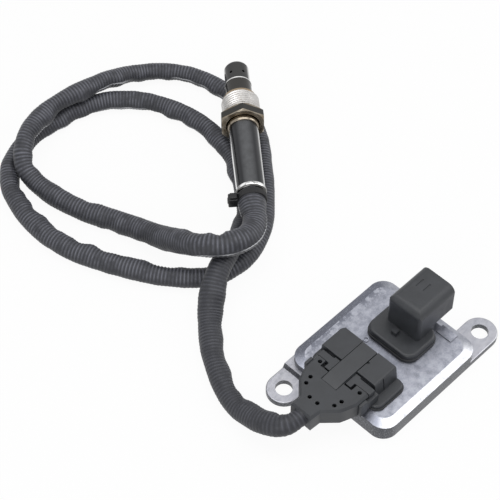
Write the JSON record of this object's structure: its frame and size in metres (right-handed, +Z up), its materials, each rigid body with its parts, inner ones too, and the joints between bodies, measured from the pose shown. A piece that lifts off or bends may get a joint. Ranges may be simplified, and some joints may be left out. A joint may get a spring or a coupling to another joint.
{
  "type": "exhaust gas nitrogen oxide sensor",
  "caption": "Exhaust gas sensor probe with a swivel hexagon nut, joined by a looped sleeved cable to a flat metal control unit with two connectors.",
  "frame": {"origin": "centre of the two mounting holes' circle, in the plane that the control unit stands on", "axes": "+X from the sensor plug towards the power connector, +Z up from the mounting face, +Y completes the frame and points to the cable's loops"},
  "size_m": [0.1545, 0.2629, 0.034],
  "materials": {
    "cast_aluminium": "as cast, lightly blasted",
    "plate_aluminium": "pressed sheet",
    "black_moulding": "fine matt texture",
    "grey_moulding": "fine matt texture",
    "seal_rubber": "smooth",
    "board_laminate": "solder resist",
    "chip_moulding": "moulded",
    "capacitor_can": "drawn",
    "pin_metal": "tinned",
    "wire_insulation": "smooth",
    "loom_sleeve": "ribbed sleeving",
    "tie_nylon": "moulded",
    "dark_steel": "polished, darkened",
    "bright_steel": "polished",
    "nut_steel": "turned",
    "ceramic_white": "sintered",
    "ptfe_bush": "turned"
  },
  "bodies": {
    "sensor": {"control_housing": "cast_aluminium", "base_plate": "plate_aluminium", "housing_seal": "seal_rubber", "circuit_board": "board_laminate", "processor_chip": "chip_moulding", "heater_driver": "chip_moulding", "capacitors": "capacitor_can", "power_connector": "black_moulding", "power_connector_seal": "seal_rubber", "power_connector_pins": "pin_metal", "sensor_socket": "black_moulding", "sensor_socket_seal": "seal_rubber", "sensor_socket_pins": "pin_metal", "plug_body": "black_moulding", "plug_terminals": "pin_metal", "plug_seal": "seal_rubber", "plug_cover": "black_moulding", "plug_lock_slide": "grey_moulding", "left_latch": "black_moulding", "right_latch": "black_moulding", "cable_grommet": "seal_rubber", "lead_wires": "wire_insulation", "sensor_cable": "loom_sleeve", "cable_cuff": "loom_sleeve", "cable_tie": "tie_nylon", "probe_sleeve": "dark_steel", "sleeve_end_ring": "bright_steel", "rear_bush": "ptfe_bush", "ceramic_insulator": "ceramic_white", "ceramic_element": "ceramic_white", "ceramic_packing": "ceramic_white", "probe_housing": "bright_steel", "inner_protection_tube": "dark_steel", "outer_protection_tube": "dark_steel"},
    "swivel_nut": {"mounting_nut": "nut_steel"}
  },
  "joints": [
    {"name": "nut_turn", "type": "hinge", "parent": "sensor", "child": "swivel_nut", "pos_m": [0.0487, 0.1425, 0.0205], "axis": [0.6428, 0.766, 0], "continuous": true}
  ]
}
